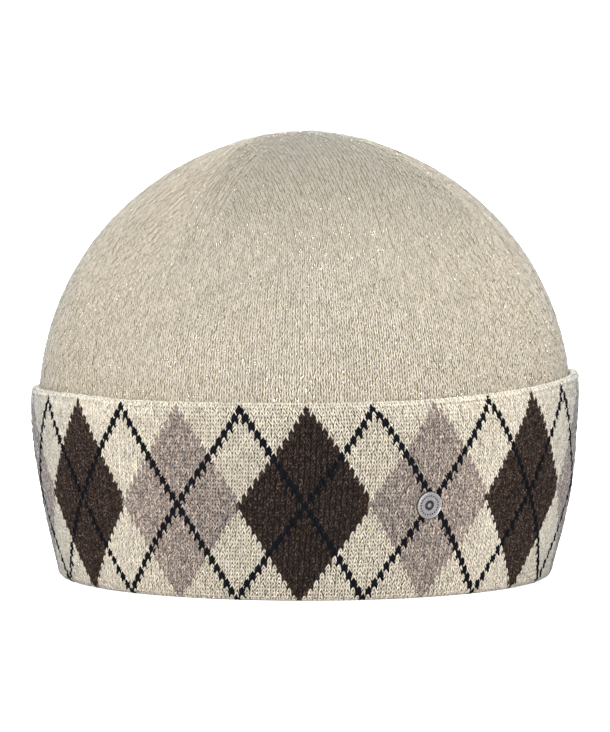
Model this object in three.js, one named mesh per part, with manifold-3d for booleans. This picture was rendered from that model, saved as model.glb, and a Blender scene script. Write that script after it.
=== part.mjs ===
// A fine-knit beanie with a turned-up patterned cuff and a small round metal badge on the cuff.
// Millimetres, +Z up. The hat rests on its rim at z = 0 and the wearer would face -Y.
// Every section is an ellipse: half-widths are measured along X, and depth is DEPTH_RATIO times that.

import * as THREE from "three";
import { mergeVertices } from "three/addons/utils/BufferGeometryUtils.js";
import Module from "manifold-3d";

const wasm = await Module();
wasm.setup();

// Driving dimensions of the hat
const HAT_HEIGHT = 143.1;
const DEPTH_RATIO = 1.12;
const FACETS_AROUND = 64;
const PIECE_GAP = 0.3;

// The cuff: a folded band that flares towards its turned top edge
const CUFF_HALF_WIDTH = 88.2;
const CUFF_TAPER = 9.3;
const CUFF_WIDEST_Z = 59;
const CUFF_TAPER_POWER = 1.6;
const CUFF_TOP_Z = 62.9;
const CUFF_WALL = 2.4;
const CUFF_SIDE_LIFT = 2.6;
const CUFF_OFF_CROWN = 0.4;

// The crown: a single knitted wall, from the folded rim up to the closed top
const CROWN_WALL = 2.0;
const DOME_BASE_Z = 50;
const DOME_HALF_WIDTH = 86.0;
const DOME_SHOULDER_POWER = 2.2;
const DOME_ROUND_POWER = 1.85;

// The fold at the rim, where the cloth turns under and up again, flattened where the hat rests
const FOLD_RADIUS = 2.2;
const FOLD_LIP_HEIGHT = 1.6;

// The badge and its hidden post
const BADGE_AZIMUTH = 0.4725;
const BADGE_Z = 29.8;
const BADGE_RADIUS = 4.25;
const BADGE_THICKNESS = 1.1;
const BADGE_RIM_WIDTH = 0.6;
const BADGE_FACE_RECESS = 0.3;
const BADGE_SIDES = 36;
const POST_RADIUS = 0.9;
const POST_FLANGE_RADIUS = 2.6;
const POST_FLANGE_THICKNESS = 0.7;
const POST_SIDES = 20;

// Half-width of the cuff's outer face at height z
function cuffHalfWidth(z) {
  const below = Math.max(0, 1 - z / CUFF_WIDEST_Z);
  return CUFF_HALF_WIDTH - CUFF_TAPER * below ** CUFF_TAPER_POWER;
}

// A point of a dome of the given half-width and rise, at the angle turn above its base
function domePoint(halfWidth, rise, turn) {
  const height = Math.sin(turn);
  const inward = Math.max(0, 1 - height ** DOME_SHOULDER_POWER);
  return [halfWidth * inward ** (1 / DOME_ROUND_POWER), DOME_BASE_Z + rise * height];
}

// Half-width of the crown's outer face at height z, below the dome's own curve
function bodyHalfWidth(z) {
  return cuffHalfWidth(z) - CUFF_WALL - CUFF_OFF_CROWN;
}

// The points of a quarter or half circle, from one angle to another, both included
function arc(centreX, centreZ, radius, from, to, steps) {
  const points = [];
  for (let i = 0; i <= steps; i++) {
    const angle = from + ((to - from) * i) / steps;
    points.push([centreX + radius * Math.cos(angle), centreZ + radius * Math.sin(angle)]);
  }
  return points;
}

// Turns a profile of [half-width, z] points round the Z axis, starting at the front (-Y)
function turned(profile, sides) {
  const points = profile.map(([x, z]) => new THREE.Vector2(x, z));
  return new THREE.LatheGeometry(points, sides).rotateX(Math.PI / 2);
}

// A turned form stretched front to back into the oval of a head
function ovalShell(profile) {
  return turned(profile, FACETS_AROUND).scale(1, DEPTH_RATIO, 1);
}

// A closed three.js geometry as a solid for cutting
function solidOf(geometry) {
  const bare = geometry.clone();
  bare.deleteAttribute("normal");
  bare.deleteAttribute("uv");
  const merged = mergeVertices(bare, 1e-3);
  const vertProperties = new Float32Array(merged.attributes.position.array);
  const triVerts = new Uint32Array(merged.index.array);
  return new wasm.Manifold(new wasm.Mesh({ numProp: 3, vertProperties, triVerts }));
}

// A cut solid back as a three.js geometry
function geometryOf(solid) {
  const mesh = solid.getMesh();
  const geometry = new THREE.BufferGeometry();
  geometry.setAttribute("position", new THREE.BufferAttribute(mesh.vertProperties, 3));
  geometry.setIndex(new THREE.BufferAttribute(mesh.triVerts, 1));
  geometry.computeVertexNormals();
  return geometry;
}

// The crown with the body wall below it, which stands on the lip of the fold
function crownGeometry() {
  const domeSteps = 14;
  const domeFoot = Math.asin((CUFF_TOP_Z - DOME_BASE_Z) / (HAT_HEIGHT - DOME_BASE_Z));
  const outerRise = HAT_HEIGHT - DOME_BASE_Z;
  const innerRise = outerRise - CROWN_WALL;
  const footZ = FOLD_LIP_HEIGHT + PIECE_GAP;
  const footBevel = 0.4;

  const foot = [
    [bodyHalfWidth(footZ) - CROWN_WALL + footBevel, footZ],
    [bodyHalfWidth(footZ) - footBevel, footZ],
  ];
  const outer = [footZ + footBevel, 12, 24, 36, 48].map((z) => [bodyHalfWidth(z), z]);
  for (let i = 0; i <= domeSteps; i++) {
    const turn = domeFoot + ((Math.PI / 2 - domeFoot) * i) / domeSteps;
    outer.push(domePoint(DOME_HALF_WIDTH, outerRise, turn));
  }
  outer[outer.length - 1][0] = 0;

  const innerSteps = 10;
  const inner = [];
  for (let i = innerSteps; i >= 0; i--) {
    const turn = domeFoot + ((Math.PI / 2 - domeFoot) * i) / innerSteps;
    inner.push(domePoint(DOME_HALF_WIDTH - CROWN_WALL, innerRise, turn));
  }
  inner[0][0] = 0;
  for (const z of [44, 28, 14, footZ + footBevel]) {
    inner.push([bodyHalfWidth(z) - CROWN_WALL, z]);
  }
  return ovalShell([...inner, ...foot, ...outer]);
}

// The badge's spot on the cuff's outer face: z of the returned frame points straight out of the cloth
function badgeFrame() {
  const step = 0.01;
  const onCuff = (azimuth, z) => {
    const halfWidth = cuffHalfWidth(z);
    const x = halfWidth * Math.sin(azimuth);
    const y = -DEPTH_RATIO * halfWidth * Math.cos(azimuth);
    return new THREE.Vector3(x, y, z + cuffLift(x, z));
  };
  const centre = onCuff(BADGE_AZIMUTH, BADGE_Z);
  const across = onCuff(BADGE_AZIMUTH + step, BADGE_Z).sub(centre).normalize();
  const up = onCuff(BADGE_AZIMUTH, BADGE_Z + 1).sub(centre).normalize();
  const outward = across.clone().cross(up).normalize();
  const side = up.clone().cross(outward);
  return new THREE.Matrix4().makeBasis(side, up, outward).setPosition(centre);
}

// How much the turned edge rides higher on the wearer's left and lower on the right
function cuffLift(x, z) {
  const height = Math.max(0, z - FOLD_RADIUS) / (CUFF_TOP_Z - FOLD_RADIUS);
  return CUFF_SIDE_LIFT * height * (x / CUFF_HALF_WIDTH) ** 3;
}

// A closed round piece in the badge's frame, from a profile of [radius, distance out of the cloth]
function roundPiece(profile, sides) {
  return turned(profile, sides).applyMatrix4(badgeFrame());
}

// The turned-up cuff and the fold under it, bored for the post and recessed inside for its flange
function cuffGeometry() {
  const edgeRadius = CUFF_WALL / 2;
  const edgeZ = CUFF_TOP_Z - edgeRadius;
  const heights = [8, 16, 24, 33, 43, 53];
  const lipHalfWidth = bodyHalfWidth(FOLD_LIP_HEIGHT) - CROWN_WALL;
  const lipBevel = 0.4;

  const fold = arc(cuffHalfWidth(FOLD_RADIUS) - FOLD_RADIUS, FOLD_RADIUS, FOLD_RADIUS, -Math.PI / 2, 0, 4);
  const outer = heights.map((z) => [cuffHalfWidth(z), z]);
  const edge = arc(cuffHalfWidth(edgeZ) - edgeRadius, edgeZ, edgeRadius, 0, Math.PI, 6);
  const inner = [...heights].reverse().map((z) => [cuffHalfWidth(z) - CUFF_WALL, z]);
  const lip = [
    [cuffHalfWidth(FOLD_LIP_HEIGHT) - CUFF_WALL, FOLD_LIP_HEIGHT],
    [lipHalfWidth, FOLD_LIP_HEIGHT],
    [lipHalfWidth, lipBevel],
    [lipHalfWidth + lipBevel, 0],
  ];
  const loop = [...fold, ...outer, ...edge, ...inner, ...lip];
  const shell = ovalShell([...loop, loop[0]]);
  const position = shell.attributes.position;
  for (let i = 0; i < position.count; i++) {
    const z = position.getZ(i);
    position.setZ(i, z + cuffLift(position.getX(i), z));
  }

  const boreRadius = POST_RADIUS + PIECE_GAP;
  const recessRadius = POST_FLANGE_RADIUS + PIECE_GAP;
  const recessTop = POST_FLANGE_THICKNESS + PIECE_GAP * 2 - CUFF_WALL;
  const cutter = roundPiece(
    [
      [0, -CUFF_WALL * 2],
      [recessRadius, -CUFF_WALL * 2],
      [recessRadius, recessTop],
      [boreRadius, recessTop],
      [boreRadius, CUFF_WALL],
      [0, CUFF_WALL],
    ],
    POST_SIDES,
  );
  return geometryOf(solidOf(shell).subtract(solidOf(cutter)));
}

// The badge: a thin disc with a raised rim and one fine raised ring on its sunk face
function badgeGeometry() {
  const back = PIECE_GAP;
  const front = back + BADGE_THICKNESS;
  const face = front - BADGE_FACE_RECESS;
  const innerRim = BADGE_RADIUS - BADGE_RIM_WIDTH;
  const ringRadius = 1.9;
  const ringHalf = 0.2;
  const profile = [
    [0, back],
    [BADGE_RADIUS - 0.2, back],
    [BADGE_RADIUS, back + 0.25],
    [BADGE_RADIUS, front - 0.3],
    [BADGE_RADIUS - 0.25, front],
    [innerRim + 0.1, front],
    [innerRim, face],
    [ringRadius + ringHalf, face],
    [ringRadius, face + 0.12],
    [ringRadius - ringHalf, face],
    [0, face],
  ];
  return roundPiece(profile, BADGE_SIDES);
}

// The plain post that holds the badge, with its flange inside the cuff
function postGeometry() {
  const flangeTop = POST_FLANGE_THICKNESS + PIECE_GAP - CUFF_WALL;
  const profile = [
    [0, flangeTop - POST_FLANGE_THICKNESS],
    [POST_FLANGE_RADIUS, flangeTop - POST_FLANGE_THICKNESS],
    [POST_FLANGE_RADIUS, flangeTop],
    [POST_RADIUS, flangeTop],
    [POST_RADIUS, 0],
    [0, 0],
  ];
  return roundPiece(profile, POST_SIDES);
}

function piece(name, geometry, color, roughness, metalness) {
  const material = new THREE.MeshStandardMaterial({ color, roughness, metalness });
  const mesh = new THREE.Mesh(geometry, material);
  mesh.name = name;
  return mesh;
}

const hat = new THREE.Group();
hat.add(piece("crown", crownGeometry(), 0xcfc7b4, 0.9, 0));
hat.add(piece("cuff", cuffGeometry(), 0x9b8f80, 0.9, 0));
hat.add(piece("badge", badgeGeometry(), 0xc4c2be, 0.3, 1));
hat.add(piece("badge_post", postGeometry(), 0xa9a7a3, 0.4, 1));

export default hat;
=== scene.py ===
# A fine-knit beanie with a turned-up argyle cuff and a small round metal badge.
import math

import bpy
import numpy as np
from mathutils import Matrix, Vector


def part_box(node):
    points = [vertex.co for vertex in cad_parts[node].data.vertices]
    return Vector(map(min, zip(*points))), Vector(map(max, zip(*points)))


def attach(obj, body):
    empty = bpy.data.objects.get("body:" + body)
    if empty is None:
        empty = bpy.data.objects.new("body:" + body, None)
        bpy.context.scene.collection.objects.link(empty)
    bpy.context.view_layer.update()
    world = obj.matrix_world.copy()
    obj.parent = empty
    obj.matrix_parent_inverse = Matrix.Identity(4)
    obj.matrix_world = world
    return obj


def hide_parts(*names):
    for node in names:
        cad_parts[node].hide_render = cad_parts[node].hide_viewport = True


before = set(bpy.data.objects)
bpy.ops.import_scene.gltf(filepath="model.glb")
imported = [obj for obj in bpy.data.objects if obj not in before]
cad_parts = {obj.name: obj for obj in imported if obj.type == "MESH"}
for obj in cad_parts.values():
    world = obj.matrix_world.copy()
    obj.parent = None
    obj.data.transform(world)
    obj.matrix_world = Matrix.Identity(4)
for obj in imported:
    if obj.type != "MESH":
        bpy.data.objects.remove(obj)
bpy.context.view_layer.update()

MM = 0.001


# The studio: a pale floor, wide soft lamps and the photograph's long, level view.
# Nothing here is part of the hat.
scene = bpy.context.scene
scene.view_settings.view_transform = "Standard"

view_distance = 2900 * MM
view_height = 288 * MM
aim_height = 67.2 * MM
lens_mm = 444
camera_data = bpy.data.cameras.new("photo_view")
camera_data.lens = lens_mm
camera_data.clip_end = 60
camera = bpy.data.objects.new("photo_view", camera_data)
scene.collection.objects.link(camera)
camera.location = (0, -view_distance, view_height)
aim = Vector((0, 0, aim_height))
camera.rotation_euler = (aim - camera.location).to_track_quat("-Z", "Y").to_euler()
scene.camera = camera


def soft_lamp(name, place, size, power, colour):
    lamp = bpy.data.lights.new(name, "AREA")
    lamp.shape = "DISK"
    lamp.size = size
    lamp.energy = power
    lamp.color = colour
    stand = bpy.data.objects.new(name, lamp)
    scene.collection.objects.link(stand)
    stand.location = place
    stand.rotation_euler = (aim - stand.location).to_track_quat("-Z", "Y").to_euler()


soft_lamp("front_left_lamp", (-0.4, -2.6, 0.5), 0.9, 41, (1.0, 0.915, 0.89))
soft_lamp("front_right_lamp", (0.5, -2.6, 0.42), 0.9, 32.5, (1.0, 0.915, 0.89))
soft_lamp("back_lamp", (0.0, 2.6, 0.6), 1.2, 55, (1.0, 0.99, 0.98))
soft_lamp("top_lamp", (0.0, -0.2, 2.1), 1.0, 31, (1.0, 1.0, 1.0))

world = bpy.data.worlds.new("studio_air")
scene.world = world
world.use_nodes = True
background = world.node_tree.nodes["Background"]
background.inputs["Color"].default_value = (0.68, 0.84, 1.0, 1)
background.inputs["Strength"].default_value = 0.19


def mesh_piece(name, places, faces):
    mesh = bpy.data.meshes.new(name)
    mesh.from_pydata(np.asarray(places).tolist(), [], faces)
    mesh.polygons.foreach_set("use_smooth", np.full(len(mesh.polygons), True))
    mesh.update()
    piece = bpy.data.objects.new(name, mesh)
    scene.collection.objects.link(piece)
    return piece


def feed(socket, value):
    """An output is linked to the socket, and anything else becomes its value."""
    if isinstance(value, bpy.types.NodeSocket):
        socket.id_data.links.new(value, socket)
    else:
        socket.default_value = value


def fill(made, **inputs):
    for name, value in inputs.items():
        feed(made.inputs[name.replace("_", " ")], value)


def node_tools(tree):
    """Short ways to add any node, a sum, a blend of colours and a soft step to one tree."""

    def node(kind, settings=None, **inputs):
        made = tree.nodes.new(kind)
        for name, value in (settings or {}).items():
            setattr(made, name, value)
        fill(made, **inputs)
        return made

    def maths(operation, *values, kind="Math"):
        made = node("ShaderNode" + kind, {"operation": operation})
        for socket, value in zip(made.inputs, values):
            feed(socket, value)
        return made.outputs[0]

    def blend(share, first, second, way="MIX"):
        made = node("ShaderNodeMix", {"data_type": "RGBA", "blend_type": way})
        inputs = {socket.identifier: socket for socket in made.inputs}
        for name, value in (("Factor_Float", share), ("A_Color", first), ("B_Color", second)):
            feed(inputs[name], value)
        return next(socket for socket in made.outputs if socket.identifier == "Result_Color")

    def stepped(value, low, high):
        soft = {"interpolation_type": "SMOOTHSTEP"}
        return node("ShaderNodeMapRange", soft, Value=value, From_Min=low, From_Max=high).outputs["Result"]

    return node, maths, blend, stepped


def new_material(name):
    material = bpy.data.materials.new(name)
    material.use_nodes = True
    tree = material.node_tree
    return material, tree.nodes["Principled BSDF"], node_tools(tree)


def two_tones(ramp, first, second):
    ramp.color_ramp.elements[0].color = (*first, 1)
    ramp.color_ramp.elements[1].color = (*second, 1)


floor_reach = 14.0
floor_greys = (0.58, 0.58, 0.58), (0.60, 0.60, 0.60)
glow_seen_straight = 0.90
glow_for_all = 0.10
corners = [(-floor_reach, -floor_reach, 0), (floor_reach, -floor_reach, 0)]
corners += [(floor_reach, floor_reach, 0), (-floor_reach, floor_reach, 0)]
floor = mesh_piece("studio_floor", corners, [(0, 1, 2, 3)])
floor_paint, paint_shader, (node, maths, _, _) = new_material("pale_floor_paint")
paint_place = node("ShaderNodeTexCoord").outputs["Object"]
paint_noise = node("ShaderNodeTexNoise", Vector=paint_place, Scale=6)
paint_ramp = node("ShaderNodeValToRGB", Fac=paint_noise.outputs["Fac"])
two_tones(paint_ramp, *floor_greys)
seen_straight = node("ShaderNodeLightPath").outputs["Is Camera Ray"]
glow = maths("MULTIPLY_ADD", seen_straight, glow_seen_straight, glow_for_all)
fill(paint_shader, Base_Color=paint_ramp.outputs["Color"], Roughness=0.9, Specular_IOR_Level=0.1)
fill(paint_shader, Emission_Color=(1, 1, 1, 1), Emission_Strength=glow)
floor.data.materials.append(floor_paint)


# The crown: one dome of cream yarn with a fine metallic thread, knitted in stocking stitch.
# Its lower part has straight wales. Four fashioning lines close the top: between two lines the wales
# run straight across the top, and five wales beside each line follow it up to the point.
crown_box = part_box("crown")
cuff_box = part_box("cuff")
cuff_half_width = cuff_box[1].x
edge_height = 62.9 * MM
side_lift = 2.6 * MM
hat_height = crown_box[1].z
depth_ratio = crown_box[1].y / crown_box[1].x
crown_wall = 2.0 * MM
dome_base = 50 * MM
dome_half_width = 86 * MM
dome_shoulder_power = 2.2
dome_round_power = 1.85
dome_rise = hat_height - dome_base
cloth_sink = 0.55 * MM
stitch_sink = 0.28 * MM
behind_cuff = 1.6 * MM


def dome_outline(turn, half_width, rise):
    """Half-width and height of the dome, turn radians above its base."""
    inward = np.clip(1 - np.sin(turn) ** dome_shoulder_power, 0, None)
    return half_width * inward ** (1 / dome_round_power), dome_base + rise * np.sin(turn)


def oval_places(azimuth, half_width, height):
    """Points of the head-shaped oval: azimuth 0 is the front (-Y), a quarter turn is +X."""
    x = half_width * np.sin(azimuth)
    y = -depth_ratio * half_width * np.cos(azimuth)
    return np.stack([x, y, height + 0 * azimuth], axis=-1)


def oval_outward(azimuth, width_step, height_step):
    """Unit vectors out of the cloth, where the outline climbs by the given steps."""
    x = np.sin(azimuth) * height_step
    y = -np.cos(azimuth) / depth_ratio * height_step
    way = np.stack([x, y, -width_step + 0 * azimuth], axis=-1)
    return way / np.linalg.norm(way, axis=-1, keepdims=True)


def unit(ways):
    return ways / np.maximum(np.linalg.norm(ways, axis=-1, keepdims=True), 1e-12)


# The meridian of the crown from under the cuff's edge to the top, with the run along it
stitch_start = 57 * MM
start_turn = math.asin((stitch_start - dome_base) / dome_rise)
meridian_turn = np.linspace(start_turn, math.pi / 2, 900)
meridian_width, meridian_height = dome_outline(meridian_turn, dome_half_width, dome_rise)
mean_stretch = (1 + depth_ratio) / 2
meridian_run = np.hypot(mean_stretch * np.diff(meridian_width), np.diff(meridian_height))
meridian_run = np.concatenate([[0], np.cumsum(meridian_run)])
meridian_end = meridian_run[-1]

# How far the wales have turned from meridians into straight parallel lines
fashioning_from = 104 * MM
fashioning_to = 120 * MM
rise_share = np.clip((meridian_height - fashioning_from) / (fashioning_to - fashioning_from), 0, 1)
meridian_straight = rise_share * rise_share * (3 - 2 * rise_share)
log_width = np.log(np.maximum(meridian_width, 1e-7))
log_reach = np.concatenate([[0], np.cumsum((1 - meridian_straight[1:]) * np.diff(log_width))])
meridian_reach = meridian_width[0] * np.exp(log_reach)
fashioning_run = float(np.interp(fashioning_from, meridian_height, meridian_run))
fashioning_width = float(np.interp(fashioning_run, meridian_run, meridian_width))

course_height = 1.65 * MM
crown_courses = int(meridian_end / course_height)
border_wales = 5
border_overlap = 0.35
course_arch = 6 * MM
draw_in = 0.14
draw_in_run = 35 * MM
gores = [
    {"name": "front", "centre": 19, "half": 52.6, "wales": 94},
    {"name": "right", "centre": 109, "half": 37.4, "wales": 68},
    {"name": "back", "centre": 199, "half": 52.6, "wales": 94},
    {"name": "left", "centre": 289, "half": 37.4, "wales": 68},
]
crown_point = np.array([-1.5, 11.7]) * MM


def at_run(run, values):
    return np.interp(run, meridian_run, values)


def gore_points(gore, wale, course, in_border):
    """Where the stitches of one gore stand, as angle from its middle and run up the meridian.

    Courses arch a little higher in the gore's middle, where the wales stay straight."""
    half = math.radians(gore["half"])
    wale_angle = 2 * half / gore["wales"]
    own = (wale + 0.5) * wale_angle - half
    from_line = np.where(own < 0, wale, gore["wales"] - 1 - wale)
    line_gap = (from_line + 0.5) * wale_angle * fashioning_width
    level_run = course * course_height
    climb = np.clip((level_run - fashioning_run) / (meridian_end - fashioning_run), 0, 1)
    arch = course_arch * np.sin(math.pi * climb)
    run = level_run
    for _ in range(5):
        width = np.maximum(at_run(run, meridian_width), 1e-7)
        inner = np.arcsin(np.clip(np.sin(own) * at_run(run, meridian_reach) / width, -1, 1))
        border = np.sign(own) * (half - np.arcsin(np.clip(line_gap / width, 0, 1)))
        angle = np.where(in_border, border, inner)
        run = level_run + arch * (1 - np.clip(angle / half, -1, 1) ** 2)
    return angle, run, from_line


def crown_places(gore, wale, course, in_border):
    """The place of each stitch. The gores meet a little off the top of the head."""
    angle, run, _ = gore_points(gore, wale, course, in_border)
    azimuth = math.radians(gore["centre"]) + angle
    share = np.clip((run - fashioning_run) / (meridian_end - fashioning_run), 0, 1) ** 1.5
    width = at_run(run, meridian_width)
    x = width * np.sin(azimuth) + crown_point[0] * share
    y = -width * np.cos(azimuth) + crown_point[1] * share
    moved_height = np.interp(-np.hypot(x, y), -meridian_width, meridian_height)
    height = np.where(share > 0, moved_height, at_run(run, meridian_height))
    return np.stack([x, depth_ratio * y, height], axis=-1)


def dome_outward(places):
    """Straight out of the dome at each place."""
    turn = np.arcsin(np.clip((places[:, 2] - dome_base) / dome_rise, 0, 0.99999))
    probe = 0.002
    low = np.stack(dome_outline(turn - probe, dome_half_width, dome_rise))
    high = np.stack(dome_outline(np.minimum(turn + probe, math.pi / 2), dome_half_width, dome_rise))
    azimuth = np.arctan2(places[:, 0], -places[:, 1] / depth_ratio)
    return oval_outward(azimuth, *(high - low))


def gore_stitches(gore):
    """The stitches of one gore: place, way up the wale, way out, size, and whether on the line.

    Neighbouring wales stand half a course apart, as in interlock cloth."""
    half = math.radians(gore["half"])
    pitch = 2 * half / gore["wales"] * fashioning_width
    course, wale = np.meshgrid(np.arange(crown_courses), np.arange(gore["wales"]), indexing="ij")
    course, wale = course.ravel() + 0.25, wale.ravel().astype(float)
    course = course + 0.5 * (wale % 2)
    _, _, from_line = gore_points(gore, wale, course, False)
    in_border = (from_line < border_wales) & (course * course_height > fashioning_run)
    angle, run, _ = gore_points(gore, wale, course, in_border)
    width = at_run(run, meridian_width)
    room = np.sin(np.maximum(half - np.abs(angle), 0)) * width
    kept = room > (border_wales - border_overlap) * pitch
    kept |= course * course_height < fashioning_run
    outer_gap = (from_line + 0.5) * pitch
    kept = np.where(in_border, outer_gap < width * math.sin(half), kept)
    place = crown_places(gore, wale, course, in_border)
    cuff_edge = edge_height + side_lift * (place[:, 0] / cuff_half_width) ** 3
    kept &= place[:, 2] > cuff_edge - behind_cuff
    up = crown_places(gore, wale, course + 0.3, in_border)
    up = up - crown_places(gore, wale, course - 0.3, in_border)
    across = crown_places(gore, wale + 0.3, course, in_border)
    across = across - crown_places(gore, wale - 0.3, course, in_border)
    along = unit(up)
    across -= np.sum(across * along, axis=1, keepdims=True) * along
    drawn_in = 1 - draw_in * np.clip((run - fashioning_run) / draw_in_run, 0, 1)
    stitches = {
        "place": place,
        "along": along,
        "outward": dome_outward(place),
        "width": drawn_in * np.linalg.norm(across, axis=1) / 0.6,
        "height": np.linalg.norm(up, axis=1) / 0.6,
        "line": (in_border & (from_line == 0)).astype(float),
    }
    return {key: values[kept] for key, values in stitches.items()}


def add_sockets(tree, direction, *rows):
    """Gives a tree its named inputs or outputs, with the value that each starts from."""
    for name, kind, start in rows:
        socket = tree.interface.new_socket(name, in_out=direction, socket_type="NodeSocket" + kind)
        if start is not None:
            socket.default_value = start


# One stitch is a pair of leaf-shaped legs. The tree sets a pair on every point of a chart of stitches,
# turned along its wale, a little unevenly, and marks each leg for the yarn's colours.
stitch_tree = bpy.data.node_groups.new("knitted_legs", "GeometryNodeTree")
stitch_tree.is_modifier = True
add_sockets(
    stitch_tree,
    "INPUT",
    ("Chart", "Geometry", None),
    ("Yarn", "Material", None),
    ("Leg Sides", "Int", 3),
    ("Leg Rings", "Int", 3),
    ("Leg Width", "Float", 0.30),
    ("Leg Depth", "Float", 0.27),
    ("Leg Length", "Float", 0.95),
    ("Leg Spread", "Float", 0.25),
    ("Leg Slant", "Float", 0.30),
    ("Unevenness", "Float", 0.08),
    ("Seed", "Int", 1),
)
add_sockets(stitch_tree, "OUTPUT", ("Stitches", "Geometry", None))
stitch_node, stitch_maths, _, _ = node_tools(stitch_tree)
given = stitch_tree.nodes.new("NodeGroupInput").outputs
leg_ball = stitch_node(
    "GeometryNodeMeshUVSphere", Segments=given["Leg Sides"], Rings=given["Leg Rings"], Radius=1.0
)
ridge_out = stitch_node(
    "GeometryNodeTransform", Geometry=leg_ball.outputs["Mesh"], Rotation=(0, 0, math.pi / 2)
)
ball_place = stitch_node("GeometryNodeInputPosition").outputs[0]
marked_ball = stitch_node(
    "GeometryNodeStoreNamedAttribute",
    {"data_type": "FLOAT_VECTOR", "domain": "POINT"},
    Geometry=ridge_out.outputs["Geometry"],
    Name="leg_place",
    Value=ball_place,
)
leg_size = stitch_node(
    "ShaderNodeCombineXYZ", X=given["Leg Width"], Y=given["Leg Depth"], Z=given["Leg Length"]
)
leg = stitch_node(
    "GeometryNodeTransform", Geometry=marked_ball.outputs["Geometry"], Scale=leg_size.outputs[0]
)
pair = stitch_node("GeometryNodeJoinGeometry")
for leg_side in (-1, 1):
    marked_leg = stitch_node(
        "GeometryNodeStoreNamedAttribute",
        {"data_type": "FLOAT", "domain": "POINT"},
        Geometry=leg.outputs["Geometry"],
        Name="leg_side",
        Value=0.5 + 0.5 * leg_side,
    )
    slant = stitch_maths("MULTIPLY", given["Leg Slant"], leg_side)
    turn = stitch_node("ShaderNodeCombineXYZ", Y=slant)
    spread = stitch_maths("MULTIPLY", given["Leg Spread"], leg_side)
    shift = stitch_node("ShaderNodeCombineXYZ", X=spread)
    set_leg = stitch_node(
        "GeometryNodeTransform",
        Geometry=marked_leg.outputs["Geometry"],
        Rotation=turn.outputs[0],
        Translation=shift.outputs[0],
    )
    stitch_tree.links.new(set_leg.outputs["Geometry"], pair.inputs["Geometry"])
smooth_pair = stitch_node("GeometryNodeSetShadeSmooth", Geometry=pair.outputs["Geometry"])


def chart_value(name):
    return stitch_node(
        "GeometryNodeInputNamedAttribute", {"data_type": "FLOAT_VECTOR"}, Name=name
    ).outputs["Attribute"]


def uneven_vector(seed_step):
    seed = stitch_maths("ADD", given["Seed"], seed_step)
    as_vector = {"data_type": "FLOAT_VECTOR"}
    swing = stitch_node("FunctionNodeRandomValue", as_vector, Min=(-1, -1, -1), Max=(1, 1, 1), Seed=seed)
    uneven = stitch_node(
        "ShaderNodeVectorMath",
        {"operation": "SCALE"},
        Vector=swing.outputs["Value"],
        Scale=given["Unevenness"],
    )
    return uneven.outputs[0]


leaning = stitch_maths("ADD", chart_value("along"), uneven_vector(1), kind="VectorMath")
facing = stitch_node(
    "FunctionNodeAxesToRotation",
    {"primary_axis": "Z", "secondary_axis": "Y"},
    Primary_Axis=leaning,
    Secondary_Axis=chart_value("outward"),
)
size_swing = stitch_maths("ADD", uneven_vector(2), (1, 1, 1), kind="VectorMath")
stitch_size = stitch_maths("MULTIPLY", chart_value("size"), size_swing, kind="VectorMath")
drift = stitch_maths("MULTIPLY", uneven_vector(3), chart_value("size"), kind="VectorMath")
drifted = stitch_node("GeometryNodeSetPosition", Geometry=given["Chart"], Offset=drift)
placed = stitch_node(
    "GeometryNodeInstanceOnPoints",
    Points=drifted.outputs["Geometry"],
    Instance=smooth_pair.outputs["Geometry"],
    Rotation=facing.outputs[0],
    Scale=stitch_size,
)
tone_seed = stitch_maths("ADD", given["Seed"], 4)
tone = stitch_node("FunctionNodeRandomValue", {"data_type": "FLOAT"}, Seed=tone_seed)
toned = stitch_node(
    "GeometryNodeStoreNamedAttribute",
    {"data_type": "FLOAT", "domain": "INSTANCE"},
    Geometry=placed.outputs["Instances"],
    Name="stitch_tone",
    Value=tone.outputs[1],
)
knitted = stitch_node("GeometryNodeRealizeInstances", Geometry=toned.outputs["Geometry"])
last = knitted.outputs["Geometry"]
for spent in ("along", "outward", "size"):
    last = stitch_node("GeometryNodeRemoveAttribute", Geometry=last, Name=spent).outputs["Geometry"]
finished = stitch_node("GeometryNodeSetMaterial", Geometry=last, Material=given["Yarn"])
fill(stitch_tree.nodes.new("NodeGroupOutput"), Stitches=finished.outputs["Geometry"])


def made_by_nodes(name, start, tree, values):
    """Runs a tree on the starting mesh, and returns what it makes as a plain mesh object."""
    piece = bpy.data.objects.new(name, start)
    scene.collection.objects.link(piece)
    modifier = piece.modifiers.new(name, "NODES")
    modifier.node_group = tree
    for item in tree.interface.items_tree:
        key = item.name.replace(" ", "_").lower()
        if item.in_out == "INPUT" and key in values:
            modifier[item.identifier] = values[key]
    depsgraph = bpy.context.evaluated_depsgraph_get()
    mesh = bpy.data.meshes.new_from_object(piece.evaluated_get(depsgraph))
    piece.modifiers.clear()
    piece.data = mesh
    bpy.data.meshes.remove(start)
    mesh.name = name
    return piece


def knit_piece(name, stitches, **values):
    """Knits one piece from a chart of stitches."""
    sizes = np.stack([stitches["width"], stitches["width"], stitches["height"]], axis=-1)
    places = stitches["place"] - stitch_sink * stitches["outward"]
    chart = bpy.data.meshes.new(name + "_chart")
    chart.vertices.add(len(places))
    chart.vertices.foreach_set("co", places.ravel())
    vectors = {"along": stitches["along"], "outward": stitches["outward"], "size": sizes}
    for attribute, rows in vectors.items():
        stored = chart.attributes.new(attribute, "FLOAT_VECTOR", "POINT")
        stored.data.foreach_set("vector", np.ascontiguousarray(rows, dtype=np.float32).ravel())
    stored = chart.attributes.new("on_line", "FLOAT", "POINT")
    stored.data.foreach_set("value", stitches["line"].astype(np.float32))
    return made_by_nodes(name, chart, stitch_tree, values)


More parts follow.
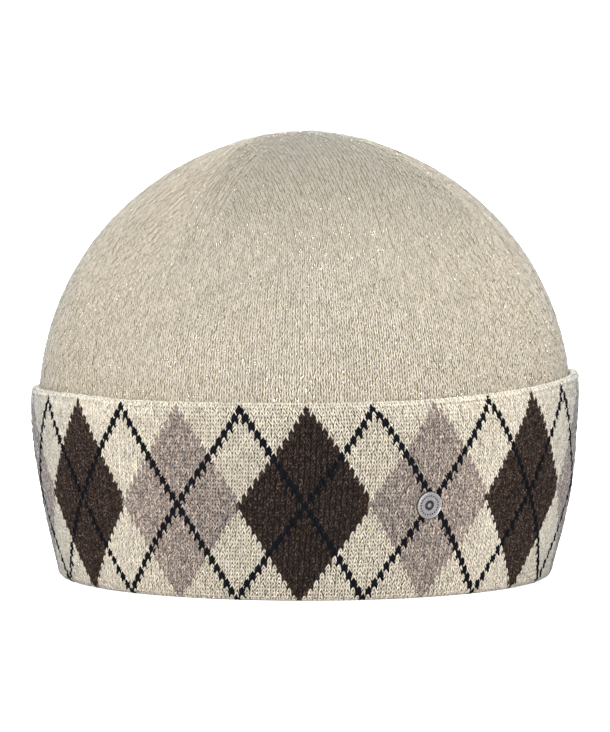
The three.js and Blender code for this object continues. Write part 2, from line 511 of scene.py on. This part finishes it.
# How a spun yarn looks: legs differ in tone, pale and dark fibres mix, and its plies twist. Painted shade
# darkens the ends and lower flanks of each leg. Every knitted part uses it with its own values.
yarn_group = bpy.data.node_groups.new("spun_yarn", "ShaderNodeTree")
add_sockets(
    yarn_group,
    "INPUT",
    ("Yarn Colour", "Color", (0.7, 0.6, 0.5, 1)),
    ("Dark Fibre", "Color", (0.3, 0.25, 0.2, 1)),
    ("Pale Fibre", "Color", (0.9, 0.85, 0.8, 1)),
    ("Mottling", "Float", 0.3),
    ("Tone Spread", "Float", 0.2),
    ("Gilt Share", "Float", 0.1),
)
yarn_results = ("Colour", "Color", None), ("Gilt", "Float", None), ("Height", "Float", None)
add_sockets(yarn_group, "OUTPUT", *yarn_results)
node, maths, blend, stepped = node_tools(yarn_group)
yarn_given = yarn_group.nodes.new("NodeGroupInput").outputs
leg_place = node("ShaderNodeAttribute", {"attribute_name": "leg_place"}).outputs["Vector"]
leg_axes = node("ShaderNodeSeparateXYZ", Vector=leg_place).outputs
leg_tone = node("ShaderNodeAttribute", {"attribute_name": "stitch_tone"}).outputs["Fac"]
leg_side_mark = node("ShaderNodeAttribute", {"attribute_name": "leg_side"}).outputs["Fac"]
leg_mark = node(
    "ShaderNodeCombineXYZ", X=maths("MULTIPLY", leg_tone, 997.0), Y=maths("MULTIPLY", leg_side_mark, 7.3)
).outputs[0]
leg_chance = node("ShaderNodeTexWhiteNoise", {"noise_dimensions": "2D"}, Vector=leg_mark)
chances = node("ShaderNodeSeparateColor", Color=leg_chance.outputs["Color"]).outputs
yarn_place = node("ShaderNodeTexCoord").outputs["Object"]
fibre_noise = node("ShaderNodeTexNoise", Vector=yarn_place, Scale=1500.0, Detail=3.0, Roughness=0.7)
patch_noise = node("ShaderNodeTexNoise", Vector=yarn_place, Scale=60.0, Detail=2.0)
fibre = fibre_noise.outputs["Fac"]
dark_share = maths("MULTIPLY", stepped(fibre, 0.50, 0.36), yarn_given["Mottling"])
pale_share = maths("MULTIPLY", stepped(fibre, 0.52, 0.66), yarn_given["Mottling"])
mixed = blend(dark_share, yarn_given["Yarn Colour"], yarn_given["Dark Fibre"])
mixed = blend(pale_share, mixed, yarn_given["Pale Fibre"])
on_line = node("ShaderNodeAttribute", {"attribute_name": "on_line"}).outputs["Fac"]
swing = maths("MULTIPLY", maths("SUBTRACT", chances[0], 0.5), yarn_given["Tone Spread"])
patch = maths("MULTIPLY", maths("SUBTRACT", patch_noise.outputs["Fac"], 0.5), 0.12)
# Painted shade: each leg darkens towards its ends, where they are tucked under the next stitches.
painted_end_shade = maths("MULTIPLY", maths("POWER", maths("ABSOLUTE", leg_axes["Z"]), 3.0), 0.12)
# Painted shade: each leg's lower flanks, near the cloth, blend towards the dark fibre colour.
painted_flank_shade = maths("SUBTRACT", 1.0, stepped(leg_axes["Y"], -0.4, 0.7))
mixed = blend(maths("MULTIPLY", painted_flank_shade, 0.42), mixed, yarn_given["Dark Fibre"])
light = maths("SUBTRACT", maths("ADD", maths("ADD", 1.0, swing), patch), painted_end_shade)
# Painted shade: legs along a fashioning line are darkened at random, for the shade in the furrow along it.
light = maths("SUBTRACT", light, maths("MULTIPLY", maths("MULTIPLY", on_line, chances[2]), 0.22))
light_colour = node("ShaderNodeCombineXYZ", X=light, Y=light, Z=light).outputs[0]
shaded = blend(1.0, mixed, light_colour, "MULTIPLY")
gilt_share = maths("ADD", yarn_given["Gilt Share"], maths("MULTIPLY", on_line, 0.08))
gilt = maths("GREATER_THAN", chances[1], maths("SUBTRACT", 1.0, gilt_share))
gilt = maths("MULTIPLY", gilt, stepped(fibre, 0.47, 0.53))
twist = maths("ADD", maths("MULTIPLY", leg_axes["Z"], 9.0), maths("MULTIPLY", leg_axes["X"], 5.0))
ply = maths("ADD", maths("MULTIPLY", maths("SINE", twist, 0.0), 0.5), maths("MULTIPLY", fibre, 0.8))
fill(yarn_group.nodes.new("NodeGroupOutput"), Colour=shaded, Gilt=gilt, Height=ply)


def yarn_material(name, colour, dark, pale, mottling, spread, gilt_share, halo):
    """A yarn's finish: soft and matt, with the gilt thread's bright glints where it has one."""
    material, shader, (node, maths, blend, _) = new_material(name)
    spun = node("ShaderNodeGroup", {"node_tree": yarn_group})
    fill(spun, Yarn_Colour=(*colour, 1), Dark_Fibre=(*dark, 1), Pale_Fibre=(*pale, 1))
    fill(spun, Mottling=mottling, Tone_Spread=spread, Gilt_Share=gilt_share)
    gilt_mask = spun.outputs["Gilt"]
    tinted = blend(gilt_mask, spun.outputs["Colour"], (1, 0.95, 0.80, 1))
    roughness = maths("SUBTRACT", 0.88, maths("MULTIPLY", gilt_mask, 0.62))
    if gilt_share > 0:
        fill(shader, Metallic=maths("MULTIPLY", gilt_mask, 0.9))
    bump = node("ShaderNodeBump", Height=spun.outputs["Height"], Strength=0.5, Distance=0.06 * MM)
    fill(shader, Base_Color=tinted, Roughness=roughness, Normal=bump.outputs["Normal"])
    fill(shader, Specular_IOR_Level=0.12, Sheen_Weight=halo, Sheen_Roughness=0.5)
    fill(shader, Sheen_Tint=(0.65, 0.82, 1.0, 1))
    return material


cream_colour = (0.722, 0.661, 0.553)
cream_dark = (0.30, 0.255, 0.10)
cream_pale = (0.82, 0.81, 0.75)
crown_yarn = yarn_material(
    "cream_gilt_yarn", cream_colour, cream_dark, cream_pale, 0.55, 0.32, gilt_share=0.08, halo=0.25
)


def backing_material(name, colour_of):
    """The cloth behind the legs, coloured as painted shade in the gaps, and the purl side inside, with its
    rows of small bumps.
    """
    material, shader, (node, maths, blend, _) = new_material(name)
    rows = node("ShaderNodeUVMap", {"uv_map": "wales_and_courses"}).outputs["UV"]
    axes = node("ShaderNodeSeparateXYZ", Vector=rows).outputs
    across = maths("MULTIPLY", axes["X"], 2 * math.pi)
    up = maths("MULTIPLY", axes["Y"], 2 * math.pi)
    sway = maths("MULTIPLY", maths("SINE", across, 0.0), 1.3)
    bumps = maths("ADD", maths("MULTIPLY", maths("SINE", maths("ADD", up, sway), 0.0), 0.5), 0.5)
    coords = node("ShaderNodeTexCoord").outputs["Object"]
    fuzz = node("ShaderNodeTexNoise", Vector=coords, Scale=1200.0, Detail=3.0).outputs["Fac"]
    shade = maths("ADD", maths("MULTIPLY", bumps, 0.45), maths("MULTIPLY", fuzz, 0.45))
    shade = maths("ADD", shade, 0.40)
    shade_colour = node("ShaderNodeCombineXYZ", X=shade, Y=shade, Z=shade).outputs[0]
    shaded = blend(1.0, colour_of(node, maths, blend), shade_colour, "MULTIPLY")
    height = maths("ADD", bumps, maths("MULTIPLY", fuzz, 0.5))
    bump = node("ShaderNodeBump", Height=height, Strength=0.7, Distance=0.35 * MM)
    fill(shader, Base_Color=shaded, Normal=bump.outputs["Normal"], Roughness=0.9)
    fill(shader, Specular_IOR_Level=0.2, Sheen_Weight=0.3)
    return material


def crown_gap_shade_and_purl_colour(node, maths, blend):
    coords = node("ShaderNodeTexCoord").outputs["Object"]
    patches = node("ShaderNodeTexNoise", Vector=coords, Scale=45.0, Detail=2.0)
    ramp = node("ShaderNodeValToRGB", Fac=patches.outputs["Fac"])
    # Painted shade: the cloth seen between the legs is a dark olive for the shade in the gaps, while the
    # purl side inside keeps the yarn's cream.
    two_tones(ramp, (0.285, 0.23, 0.082), (0.365, 0.30, 0.12))
    ramp.color_ramp.elements[0].position = 0.35
    ramp.color_ramp.elements[1].position = 0.65
    on_purl_side = node("ShaderNodeAttribute", {"attribute_name": "purl_side"}).outputs["Fac"]
    return blend(on_purl_side, ramp.outputs["Color"], (0.74, 0.68, 0.57, 1))


def shell_faces(rings, around, poles):
    """The faces of a turned shell, and the (step, row) that each stands at.

    A shell with poles has them as its last two points, and one without closes on itself."""
    faces = []
    spots = []
    for row in range(rings - 1 if poles else rings):
        low = row * around
        high = ((row + 1) % rings) * around
        for step in range(around):
            after = (step + 1) % around
            faces.append((low + step, low + after, high + after, high + step))
            spots.append((step, row))
    if poles:
        first_pole = rings * around
        top = first_pole - around
        for step in range(around):
            after = (step + 1) % around
            faces.append((first_pole, after, step))
            spots.append((step, -1))
            faces.append((top + step, top + after, first_pole + 1))
            spots.append((step, rings - 1))
    return faces, spots


def turned_cloth(name, outline, around, wales, course):
    """A closed shell turned from an outline of (half-width, height) rows, oval like the head.

    An outline that starts and ends on the axis closes at two poles, and any other closes on itself."""
    outline = np.asarray(outline)
    azimuth = np.arange(around) * 2 * math.pi / around
    poles = outline[0, 0] < 1e-9
    rings = outline[1:-1] if poles else outline
    places = np.concatenate([oval_places(azimuth, width, height) for width, height in rings])
    if poles:
        places = np.concatenate([places, [[0, 0, outline[0, 1]], [0, 0, outline[-1, 1]]]])
    count = len(rings)
    faces, face_spots = shell_faces(count, around, poles)
    piece = mesh_piece(name, places, faces)
    run = np.concatenate([[0], np.cumsum(np.hypot(*np.diff(rings, axis=0).T))])
    run = np.append(run, run[-1] + course) / course
    uv_map = piece.data.uv_layers.new(name="wales_and_courses")
    spots = []
    for face, (step, row) in zip(faces, face_spots):
        left, right = step * wales / around, (step + 1) * wales / around
        low, high = (run[0] - 1, run[0]) if row < 0 else (run[row], run[min(row + 1, count)])
        if len(face) == 4:
            spots += [(left, low), (right, low), (right, high), (left, high)]
        elif row < 0:
            spots += [((left + right) / 2, low), (right, high), (left, high)]
        else:
            spots += [(left, low), (right, low), ((left + right) / 2, high)]
    uv_map.data.foreach_set("uv", np.asarray(spots, dtype=np.float32).ravel())
    return piece, face_spots


cuff_wall = 2.4 * MM
cuff_off_crown = 0.4 * MM
cuff_taper = 9.3 * MM
cuff_widest = 59 * MM
cuff_taper_power = 1.6


def cuff_width(height):
    """Half-width of the cuff's outer face."""
    below = np.clip(1 - np.asarray(height) / cuff_widest, 0, None)
    return cuff_half_width - cuff_taper * below**cuff_taper_power


def body_width(height):
    return cuff_width(height) - cuff_wall - cuff_off_crown


crown_foot = crown_box[0].z
foot_bevel = 0.4 * MM
wall_top = 58 * MM
dome_foot = math.asin((edge_height - dome_base) / dome_rise)
outer_turn = np.linspace(dome_foot, math.pi / 2, 40)
outer_width, outer_height = dome_outline(outer_turn, dome_half_width - cloth_sink, dome_rise - cloth_sink)
inner_turn = np.linspace(math.pi / 2, dome_foot, 32)
inner_width, inner_height = dome_outline(inner_turn, dome_half_width - crown_wall, dome_rise - crown_wall)
wall_heights = np.linspace(crown_foot + foot_bevel, wall_top, 14)
crown_outline = [(inner_width[i], inner_height[i]) for i in range(len(inner_turn))]
crown_outline += [(body_width(z) - crown_wall, z) for z in wall_heights[::-1]]
crown_outline.append((body_width(crown_foot) - crown_wall + foot_bevel, crown_foot))
crown_outline.append((body_width(crown_foot) - foot_bevel, crown_foot))
crown_outline += [(body_width(z) - cloth_sink, z) for z in wall_heights]
crown_outline += [(outer_width[i], outer_height[i]) for i in range(len(outer_turn))]
crown_outline[0] = (0, crown_outline[0][1])
crown_outline[-1] = (0, crown_outline[-1][1])
crown_cloth, crown_spots = turned_cloth(
    "crown_cloth", crown_outline, around=144, wales=324, course=course_height
)
inside_rows = len(inner_turn) + len(wall_heights) + 1
on_inside = np.array([row < inside_rows for _, row in crown_spots], dtype=np.float32)
crown_cloth.data.attributes.new("purl_side", "FLOAT", "FACE").data.foreach_set("value", on_inside)
crown_cloth.data.materials.append(backing_material("cream_cloth_behind_legs", crown_gap_shade_and_purl_colour))
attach(crown_cloth, "root")
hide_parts("crown")

for number, gore in enumerate(gores):
    stitches = gore_stitches(gore)
    gore_knit = knit_piece(
        "crown_knit_" + gore["name"],
        stitches,
        yarn=crown_yarn,
        leg_sides=3,
        leg_rings=3,
        leg_width=0.26,
        leg_depth=0.07,
        leg_length=0.86,
        leg_spread=0.25,
        leg_slant=0.22,
        unevenness=0.08,
        seed=10 + number,
    )
    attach(gore_knit, "root")


# The cuff: a band of the same cloth turned up over the body, knitted in four yarns: cream with the
# gilt thread, dark brown, taupe and near black. Turned up, its stitches stand on their heads.
# The band ends at the top in a soft edge, and turns under at the bottom, where the hat rests.
fold_radius = 2.8 * MM
lip_height = 1.6 * MM
side_tilt = 0.4 * MM
edge_radius = cuff_wall / 2
edge_centre_z = edge_height - edge_radius
diamonds_around = 14
wales_per_diamond = 24
courses_per_diamond = 50
cuff_wales = diamonds_around * wales_per_diamond
front_stretch = 0.0935
pattern_turn = -0.001

pull_heights = np.array([0, 6, 20, 31, 55, 62.9]) * MM
pull_beside = np.array([0, 1.2, 0.6, -0.9, -1.1, 0]) * MM
pull_right = np.array([0, 0.35, 0.75, 0.8, 0.75, 0]) * MM
bulge_heights = np.array([0, 5, 12, 26, 34, 45]) * MM
bulge_amounts = np.array([0, 0.6, 1.25, 1.2, 0.85, 0]) * MM
wave_place = -0.86
wave_reach = 0.16
wave_height = 1.3 * MM
ear_dip = 1.5 * MM
dip_rise = 32 * MM
dip_fade = 40 * MM
dip_end = 90 * MM
edge_lean = 0.45 * MM
lean_from = 56 * MM


def cuff_lift(x, y, z):
    """The turned edge rides higher on one side of the head and lower on the other, with a soft
    wave on the low side and a dip behind each ear. On the high side its courses are pulled a
    little closer together."""
    share = np.clip(z - fold_radius, 0, None) / (edge_height - fold_radius)
    across = x / cuff_half_width
    wave = wave_height * np.exp(-(((across - wave_place) / wave_reach) ** 2))
    dip = ear_dip * np.clip(y / dip_rise, 0, 1) * np.clip((dip_end - y) / dip_fade, 0, 1)
    beside = np.clip((across - 0.45) / 0.5, 0, 1) ** 2
    right = np.clip((across + 0.08) / 0.3, 0, 1)
    pulled = beside * np.interp(z, pull_heights, pull_beside)
    pulled = pulled + right * np.interp(z, pull_heights, pull_right)
    return share * (side_lift * across**3 + side_tilt * across + wave - dip) + pulled


def cuff_bulge(x, z):
    """On one side of the head the cuff is a little fuller below its middle."""
    return np.clip(x / cuff_half_width, 0, 1) ** 3 * np.interp(z, bulge_heights, bulge_amounts)


def leaning_in(z):
    """The cuff's top few millimetres lean in and lie against the crown."""
    return edge_lean * max(0, (z - lean_from) / (edge_centre_z - lean_from)) ** 2


def cuff_outline(sink, edge_turn):
    """The cuff's face from the middle of the fold's underside to just past its top edge."""
    fold = np.linspace(-math.pi / 2, 0, 9)[:-1]
    fold_centre = float(cuff_width(fold_radius)) - fold_radius
    radius = fold_radius - sink
    points = [(fold_centre + radius * math.cos(a), fold_radius + radius * math.sin(a)) for a in fold]
    face = np.linspace(fold_radius, edge_centre_z, 60)[:-1]
    points += [(float(cuff_width(z)) - sink - leaning_in(z), z) for z in face]
    edge_centre = float(cuff_width(edge_centre_z)) - edge_radius - leaning_in(edge_centre_z)
    turns = np.linspace(0, edge_turn, 12)
    radius = edge_radius - sink
    points += [(edge_centre + radius * math.cos(a), edge_centre_z + radius * math.sin(a)) for a in turns]
    return np.array(points)


face_line = cuff_outline(0, 0.8 * math.pi)
face_run = np.concatenate([[0], np.cumsum(np.hypot(*np.diff(face_line, axis=0).T))])
crest_run = face_run[int(np.argmax(face_line[:, 1]))]
pattern_start = 0.35 * MM
plain_below_crest = 1.8 * MM
cuff_course = (crest_run - plain_below_crest - pattern_start) / courses_per_diamond
highest_course = int((face_run[-1] - pattern_start) / cuff_course)
face_probe = 0.2 * MM


def face_at(run):
    """Half-width and height of the cuff's face, this far along it from the fold."""
    return np.stack([np.interp(run, face_run, face_line[:, side]) for side in (0, 1)])


def face_step(run):
    return face_at(run + face_probe) - face_at(run - face_probe)


def wale_azimuth(wale):
    """Where a wale stands: the knitting is stretched a little wider across the front."""
    angle = wale * 2 * math.pi / cuff_wales
    return angle + front_stretch * np.sin(angle) + pattern_turn


wale_lean = 0.010
side_lean = 0.0105
front_lean = 0.008
edge_pull = 0.021
fold_pull = 0.0095
side_fold_pull = 0.017
wale_shift = 0.0043
side_shift = 0.004


def leaned(azimuth, height):
    """The wales lean a little, and are pulled aside at the turned edge and at the fold."""
    climb = np.clip(height / edge_height, 0, 1)
    sideways = np.sin(azimuth)
    beside_front = np.clip(np.cos(azimuth + 0.15), 0, 1) ** 8
    lean = (2 * climb - 1) * (wale_lean - side_lean * sideways + front_lean * beside_front)
    at_edge = edge_pull * climb**10 * (1 + 0.4 * sideways)
    at_fold = (1 - climb) ** 2 * (fold_pull - side_fold_pull * sideways)
    return azimuth + lean + wale_shift - side_shift * sideways - at_edge - at_fold


CREAM, BROWN, TAUPE, BLACK, PURL_SIDE = range(5)


def yarn_at(wale, course):
    """The yarn of each stitch: diamonds corner to corner, crossed by lines one stitch wide."""
    number = np.floor(wale / wales_per_diamond + 0.5).astype(int)
    across = np.abs(wale - number * wales_per_diamond)
    rise = np.abs(course + 0.5 - courses_per_diamond / 2)
    half_across = wales_per_diamond / 2
    line_across = np.floor((rise + 0.5) / 2)
    in_diamond = across <= half_across - line_across
    yarn = np.where(in_diamond, np.where(number % 2 == 0, BROWN, TAUPE), CREAM)
    charted = (course >= 0) & (course < courses_per_diamond)
    return np.where(charted, np.where(across == line_across, BLACK, yarn), CREAM)


def cuff_places(wale, run):
    width, height = face_at(run)
    azimuth = leaned(wale_azimuth(wale), height)
    places = oval_places(azimuth, width, height)
    places[..., 0] += cuff_bulge(places[..., 0], places[..., 2])
    places[..., 2] += cuff_lift(places[..., 0], places[..., 1], places[..., 2])
    return places


def cuff_stitches():
    course, wale = np.meshgrid(np.arange(highest_course), np.arange(cuff_wales), indexing="ij")
    course, wale = course.ravel(), wale.ravel().astype(float)
    run = pattern_start + (course + 0.5) * cuff_course
    along = cuff_places(wale, run + face_probe) - cuff_places(wale, run - face_probe)
    wale_width = np.linalg.norm(cuff_places(wale + 0.5, run) - cuff_places(wale - 0.5, run), axis=1)
    return {
        "place": cuff_places(wale, run),
        "along": unit(along),
        "outward": oval_outward(wale_azimuth(wale), *face_step(run)),
        "width": wale_width,
        "height": np.full(len(run), cuff_course),
        "line": np.zeros(len(run)),
        "yarn": yarn_at(wale, course),
        "front": np.cos(wale_azimuth(wale)) > 0,
    }


def sunk_point(run):
    """A point of the backing, just under the stitches at this run."""
    width_step, height_step = face_step(run) / np.linalg.norm(face_step(run))
    return tuple(face_at(run) - cloth_sink * np.array([height_step, -width_step]))


inner_foot = 3 * MM
boundary_courses = np.arange(0, highest_course + 1)
cuff_loop = [sunk_point(pattern_start + course * cuff_course) for course in boundary_courses]
inner_heights = np.linspace(edge_centre_z, inner_foot, 14)
cuff_loop += [(float(cuff_width(z)) - cuff_wall, z) for z in inner_heights]
lip_width = float(body_width(lip_height)) - crown_wall
cuff_loop.append((float(cuff_width(lip_height)) - cuff_wall, lip_height))
cuff_loop.append((lip_width, lip_height))
cuff_loop.append((lip_width, foot_bevel))
cuff_loop.append((lip_width + foot_bevel, 0))
cuff_loop.append((float(cuff_width(fold_radius)) - fold_radius, 0))
cuff_cloth, cloth_spots = turned_cloth(
    "cuff_cloth", cuff_loop, around=cuff_wales, wales=cuff_wales, course=cuff_course
)


def shift_to_wales(piece, around):
    """Moves the shell's evenly spread columns to where the cuff's wales stand."""
    count = len(piece.data.vertices)
    places = np.empty(count * 3)
    piece.data.vertices.foreach_get("co", places)
    places = places.reshape(-1, 3)
    rings = count // around
    azimuth = np.tile(wale_azimuth(np.arange(around) - 0.5), rings)
    width = np.hypot(places[:, 0], places[:, 1] / depth_ratio)
    moved = oval_places(leaned(azimuth, places[:, 2]), width, places[:, 2])
    moved[:, 0] += cuff_bulge(moved[:, 0], places[:, 2])
    moved[:, 2] += cuff_lift(moved[:, 0], moved[:, 1], places[:, 2])
    piece.data.vertices.foreach_set("co", moved.ravel())
    piece.data.update()


shift_to_wales(cuff_cloth, cuff_wales)
face_steps, face_rows = np.array(cloth_spots).T
charted_rows = len(boundary_courses) - 1
face_yarn = yarn_at(face_steps.astype(float), face_rows)
face_yarn = np.where(face_rows < charted_rows, face_yarn, PURL_SIDE).astype(np.float32)
stored = cuff_cloth.data.attributes.new("yarn", "FLOAT", "FACE")
stored.data.foreach_set("value", face_yarn)


def cuff_gap_shade_and_purl_colour(node, maths, _):
    """The gaps between the legs are painted shade, dark in each yarn's own tone, and the purl side is
    cream.
    """
    mark = node("ShaderNodeAttribute", {"attribute_name": "yarn"}).outputs["Fac"]
    ramp = node("ShaderNodeValToRGB", Fac=maths("MULTIPLY", mark, 0.25))
    ramp.color_ramp.interpolation = "CONSTANT"
    painted_gap_shade = {BROWN: (0.003, 0.002, 0.002), TAUPE: (0.04, 0.03, 0.02), BLACK: (0.002, 0.002, 0.003)}
    # The first tone is the painted shade between the cream legs.
    two_tones(ramp, (0.18, 0.13, 0.05), painted_gap_shade[BROWN])
    ramp.color_ramp.elements[1].position = 0.2
    for position, tone in ((0.45, painted_gap_shade[TAUPE]), (0.7, painted_gap_shade[BLACK]), (0.95, (0.55, 0.48, 0.34))):
        ramp.color_ramp.elements.new(position).color = (*tone, 1)
    return ramp.outputs["Color"]


cuff_cloth.data.materials.append(backing_material("cuff_cloth_backing", cuff_gap_shade_and_purl_colour))
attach(cuff_cloth, "root")
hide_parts("cuff")

cuff_pale = (0.93, 0.90, 0.84)
cuff_cream_yarn = yarn_material(
    "cuff_cream_gilt_yarn", (0.885, 0.837, 0.70), (0.235, 0.175, 0.07), cuff_pale, 0.6, 0.4, 0.07, halo=0.3
)
brown_yarn = yarn_material(
    "brown_marl", (0.049, 0.034, 0.026), (0.003, 0.002, 0.002), (0.25, 0.18, 0.15), 0.8, 0.85, 0, halo=0.02
)
taupe_yarn = yarn_material(
    "taupe_marl", (0.48, 0.405, 0.34), (0.10, 0.07, 0.05), (0.86, 0.77, 0.68), 0.95, 0.8, 0, halo=0.3
)
black_yarn = yarn_material(
    "near_black", (0.005, 0.006, 0.009), (0.002, 0.003, 0.004), (0.02, 0.022, 0.028), 0.5, 0.5, 0, halo=0.01
)
cuff_chart = cuff_stitches()
cream_places = cuff_chart["yarn"] == CREAM
plain_leg = (0.215, 0.24, 0.98, 0.25)
thin_leg = (0.19, 0.24, 0.98, 0.21)
full_leg = (0.54, 0.30, 1.08, 0.38)
cuff_knits = [
    ("cuff_cream_knit_front", cream_places & cuff_chart["front"], cuff_cream_yarn, plain_leg),
    ("cuff_cream_knit_back", cream_places & ~cuff_chart["front"], cuff_cream_yarn, plain_leg),
    ("cuff_brown_knit", cuff_chart["yarn"] == BROWN, brown_yarn, thin_leg),
    ("cuff_taupe_knit", cuff_chart["yarn"] == TAUPE, taupe_yarn, plain_leg),
    ("cuff_black_knit", cuff_chart["yarn"] == BLACK, black_yarn, full_leg),
]
for number, (name, chosen, yarn, leg_size) in enumerate(cuff_knits):
    part_knit = knit_piece(
        name,
        {key: values[chosen] for key, values in cuff_chart.items()},
        yarn=yarn,
        leg_sides=3,
        leg_rings=3,
        leg_width=leg_size[0],
        leg_depth=leg_size[1],
        leg_length=leg_size[2],
        leg_spread=leg_size[3],
        leg_slant=-0.27,
        unevenness=0.08,
        seed=40 + number,
    )
    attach(part_knit, "root")


# The badge: a small stamped disc of greyed metal on the front of the cuff, a little to the right.
# It has a bright rolled rim, a sunk face with a ring of plain dots, and a small boss in the middle.
# Its back lies just off the cloth, with a near-black edge a little wider than the rim that is painted
# shadow around the disc, and its post goes through the cuff.
badge_azimuth = 0.4685
badge_height = 30.1 * MM
badge_gap = 0.3 * MM
badge_sides = 96


def on_cuff(azimuth, height):
    half_width = float(cuff_width(height))
    x = half_width * math.sin(azimuth)
    lift = side_lift * (height - fold_radius) / (edge_height - fold_radius) * (x / cuff_half_width) ** 3
    return Vector((x, -depth_ratio * half_width * math.cos(azimuth), height + lift))


badge_spot = on_cuff(badge_azimuth, badge_height)
badge_across = on_cuff(badge_azimuth + 0.001, badge_height) - badge_spot
badge_up = (on_cuff(badge_azimuth, badge_height + 1 * MM) - badge_spot).normalized()
badge_outward = badge_across.cross(badge_up).normalized()
badge_side = badge_up.cross(badge_outward)
badge_frame = Matrix((badge_side, badge_up, badge_outward)).transposed().to_4x4()
badge_frame.translation = badge_spot


def turned_disc(name, profile, sides):
    """A disc turned from (radius, height, finish) rows, from the middle of its back to its front."""
    turns = np.arange(sides) * 2 * math.pi / sides
    rings = []
    for radius, height, _ in profile[1:-1]:
        ring = [radius * np.cos(turns), radius * np.sin(turns), np.full(sides, height)]
        rings.append(np.stack(ring, axis=-1))
    places = np.concatenate(rings)
    places = np.concatenate([places, [[0, 0, profile[0][1]], [0, 0, profile[-1][1]]]])
    faces, spots = shell_faces(len(rings), sides, poles=True)
    piece = mesh_piece(name, places, faces)
    piece.data.polygons.foreach_set("material_index", [profile[row + 1][2] for _, row in spots])
    return piece


def stamped_metal(name, base, roughness, scratches, metallic=1.0):
    """Worn nickel plate: fine scratches one way, and a blasted grain with dull specks."""
    material, shader, (node, maths, blend, stepped) = new_material(name)
    coords = node("ShaderNodeTexCoord").outputs["Object"]
    stretched = node("ShaderNodeMapping", Vector=coords, Scale=(900, 9000, 900))
    lines = node("ShaderNodeTexNoise", Vector=stretched.outputs[0], Scale=1.0, Detail=4.0).outputs["Fac"]
    patches = node("ShaderNodeTexNoise", Vector=coords, Scale=2400.0, Detail=3.0).outputs["Fac"]
    dull = stepped(patches, 0.42, 0.62)
    worn = tuple(0.72 * channel for channel in base)
    rough = maths("ADD", roughness, maths("MULTIPLY", maths("ADD", dull, lines), 0.12))
    relief = maths("ADD", lines, patches)
    bump = node("ShaderNodeBump", Height=relief, Strength=scratches, Distance=0.03 * MM)
    fill(shader, Base_Color=blend(dull, (*base, 1), (*worn, 1)), Roughness=rough)
    fill(shader, Normal=bump.outputs["Normal"], Metallic=metallic)
    return material


bright, face, shadow_ring_and_groove = 0, 1, 2
# The first rows are the back: its near-black edge, a little wider than the rim, is painted shadow where the
# badge meets the cloth.
badge_rows = [
    (0, 0, shadow_ring_and_groove),
    (4.15, 0, shadow_ring_and_groove),
    (4.4, 0.06, shadow_ring_and_groove),
    (4.42, 0.22, shadow_ring_and_groove),
    (4.18, 0.3, shadow_ring_and_groove),
    (4.2, 0.42, bright),
    (4.25, 0.7, bright),
    (4.24, 0.95, bright),
    (4.16, 1.07, bright),
    (4.06, 1.1, bright),
    (3.96, 1.06, bright),
    (3.9, 0.94, face),
    (3.86, 0.83, face),
    (3.8, 0.8, face),
    (3.74, 0.8, face),
    (1.74, 0.8, face),
    (1.68, 0.8, face),
    (1.64, 0.74, shadow_ring_and_groove),
    (1.56, 0.72, shadow_ring_and_groove),
    (0.72, 0.72, shadow_ring_and_groove),
    (0.66, 0.76, face),
    (0.6, 0.82, face),
    (0.5, 0.86, face),
    (0.3, 0.88, face),
    (0, 0.89, face),
]
badge_profile = [(radius * MM, badge_gap + height * MM, finish) for radius, height, finish in badge_rows]
badge_disc = turned_disc("badge_disc", badge_profile, badge_sides)
badge_disc.data.transform(badge_frame)
dark_metal = stamped_metal("dark_badge_groove", (0.04, 0.038, 0.042), 0.6, 0.5, 0.3)
badge_disc.data.materials.append(stamped_metal("bright_rolled_rim", (0.74, 0.74, 0.74), 0.3, 0.15, 0.85))
badge_disc.data.materials.append(stamped_metal("greyed_badge_face", (0.43, 0.425, 0.44), 0.5, 0.8, 0.55))
badge_disc.data.materials.append(dark_metal)
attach(badge_disc, "root")
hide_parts("badge")


stud_count = 22
stud_radius = 0.3 * MM
stud_ring_radius = 3.05 * MM
stud_seat = badge_gap + 0.76 * MM
stud_tree = bpy.data.node_groups.new("ring_of_studs", "GeometryNodeTree")
stud_tree.is_modifier = True
add_sockets(
    stud_tree,
    "INPUT",
    ("Ring", "Geometry", None),
    ("Count", "Int", stud_count),
    ("Ring Radius", "Float", stud_ring_radius),
    ("Stud Radius", "Float", stud_radius),
    ("Metal", "Material", None),
)
add_sockets(stud_tree, "OUTPUT", ("Studs", "Geometry", None))
node, _, _, _ = node_tools(stud_tree)
asked = stud_tree.nodes.new("NodeGroupInput").outputs
ring = node("GeometryNodeMeshCircle", Vertices=asked["Count"], Radius=asked["Ring Radius"])
ball = node("GeometryNodeMeshUVSphere", Segments=10, Rings=6, Radius=asked["Stud Radius"])
flat = node("GeometryNodeTransform", Geometry=ball.outputs["Mesh"], Scale=(1, 1, 0.6))
smooth = node("GeometryNodeSetShadeSmooth", Geometry=flat.outputs["Geometry"])
studs = node(
    "GeometryNodeInstanceOnPoints", Points=ring.outputs["Mesh"], Instance=smooth.outputs["Geometry"]
)
real = node("GeometryNodeRealizeInstances", Geometry=studs.outputs["Instances"])
painted = node("GeometryNodeSetMaterial", Geometry=real.outputs["Geometry"], Material=asked["Metal"])
fill(stud_tree.nodes.new("NodeGroupOutput"), Studs=painted.outputs["Geometry"])
ring_start = bpy.data.meshes.new("badge_studs_start")
badge_studs = made_by_nodes("badge_studs", ring_start, stud_tree, {"metal": dark_metal})
badge_studs.data.transform(badge_frame @ Matrix.Translation((0, 0, stud_seat)))
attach(badge_studs, "root")

# The post is hidden behind the badge and in the cuff: plain plated wire with a small flange.
post_metal = stamped_metal("plain_post_plate", (0.5, 0.49, 0.48), 0.35, 0.3)
badge_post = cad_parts["badge_post"]
badge_post.data.materials.clear()
badge_post.data.materials.append(post_metal)
